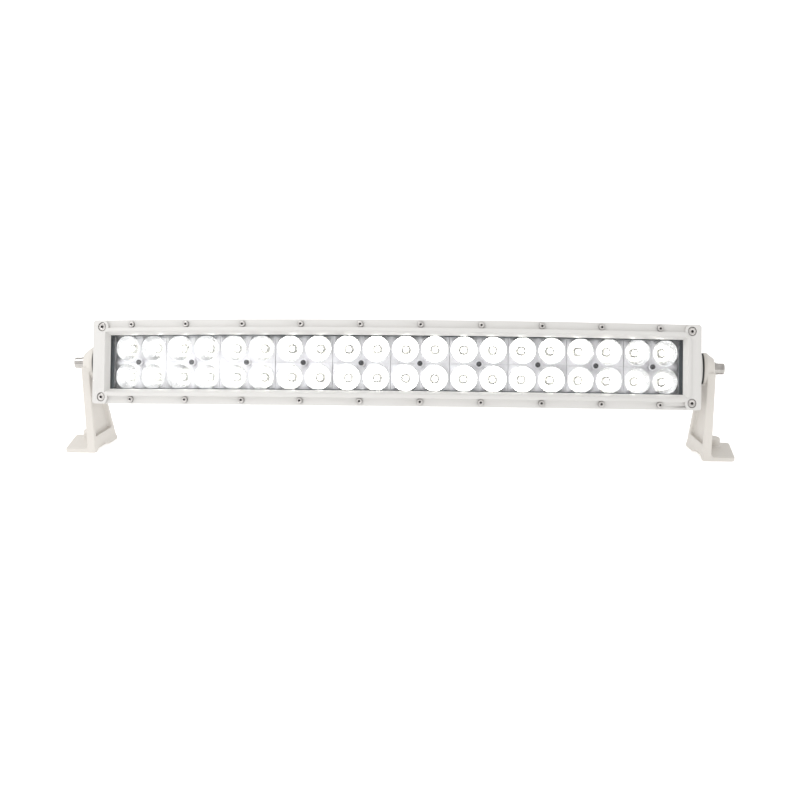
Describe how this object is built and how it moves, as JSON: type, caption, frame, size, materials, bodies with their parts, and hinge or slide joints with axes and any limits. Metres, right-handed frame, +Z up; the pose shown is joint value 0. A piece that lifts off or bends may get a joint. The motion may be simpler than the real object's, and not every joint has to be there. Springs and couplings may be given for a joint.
{
  "type": "led light bar",
  "caption": "Curved double-row LED light bar in a white painted housing with a clear lens, held between two cast side brackets with flat feet that let it tilt.",
  "frame": {"origin": "on the mounting plane under the feet, midway between the two foot bolts", "axes": "+X along the bar, -Y the way the light shines, +Z up from the mounting plane"},
  "size_m": [0.614, 0.1249, 0.1392],
  "materials": {
    "white_paint": "satin",
    "clear_lens": "gloss",
    "black_rubber": "matte",
    "silvered_plastic": "gloss",
    "white_board": "satin",
    "lamp_phosphor": "satin",
    "grey_pad": "matte",
    "green_board": "satin",
    "dark_ferrite": "matte",
    "can_aluminium": "satin",
    "black_plastic": "matte",
    "white_membrane": "matte",
    "dark_steel": "satin",
    "screw_steel": "satin",
    "stainless": "satin",
    "black_nylon": "matte"
  },
  "bodies": {
    "left_mount": {"left_bracket": "white_paint", "left_thread_insert": "stainless"},
    "light_bar": {"bezel_corner_screws": "screw_steel", "bezel_rail_screws": "screw_steel", "breather_vent": "black_plastic", "cable_gland": "black_plastic", "driver_boards": "green_board", "driver_capacitors": "can_aluminium", "driver_chips": "black_plastic", "driver_coils": "dark_ferrite", "end_cap_screws": "screw_steel", "front_bezel": "white_paint", "gland_cap_nut": "black_plastic", "gland_seal": "black_rubber", "housing": "white_paint", "led_boards": "white_board", "led_lamps": "lamp_phosphor", "left_end_cap": "white_paint", "left_end_seal": "black_rubber", "lens": "clear_lens", "lens_seal": "black_rubber", "pivot_bolts": "stainless", "pivot_pads": "black_nylon", "pivot_spring_washers": "stainless", "pivot_washers": "stainless", "reflector_screws": "dark_steel", "reflectors": "silvered_plastic", "right_end_cap": "white_paint", "right_end_seal": "black_rubber", "thermal_pads": "grey_pad", "vent_membrane": "white_membrane"},
    "right_mount": {"right_bracket": "white_paint", "right_thread_insert": "stainless"}
  },
  "joints": [
    {"name": "bar_tilt", "type": "hinge", "parent": "left_mount", "child": "light_bar", "pos_m": [0, -0.0175, 0.083], "axis": [-1, 0, 0], "range_deg": [-50, 70]},
    {"name": "right_bracket_pivot", "type": "hinge", "parent": "light_bar", "child": "right_mount", "pos_m": [0, -0.0175, 0.083], "axis": [-1, 0, 0], "range_deg": [-70, 50]}
  ],
  "couplings": [
    {"joint": "right_bracket_pivot", "follows": "bar_tilt", "ratio": -1}
  ]
}
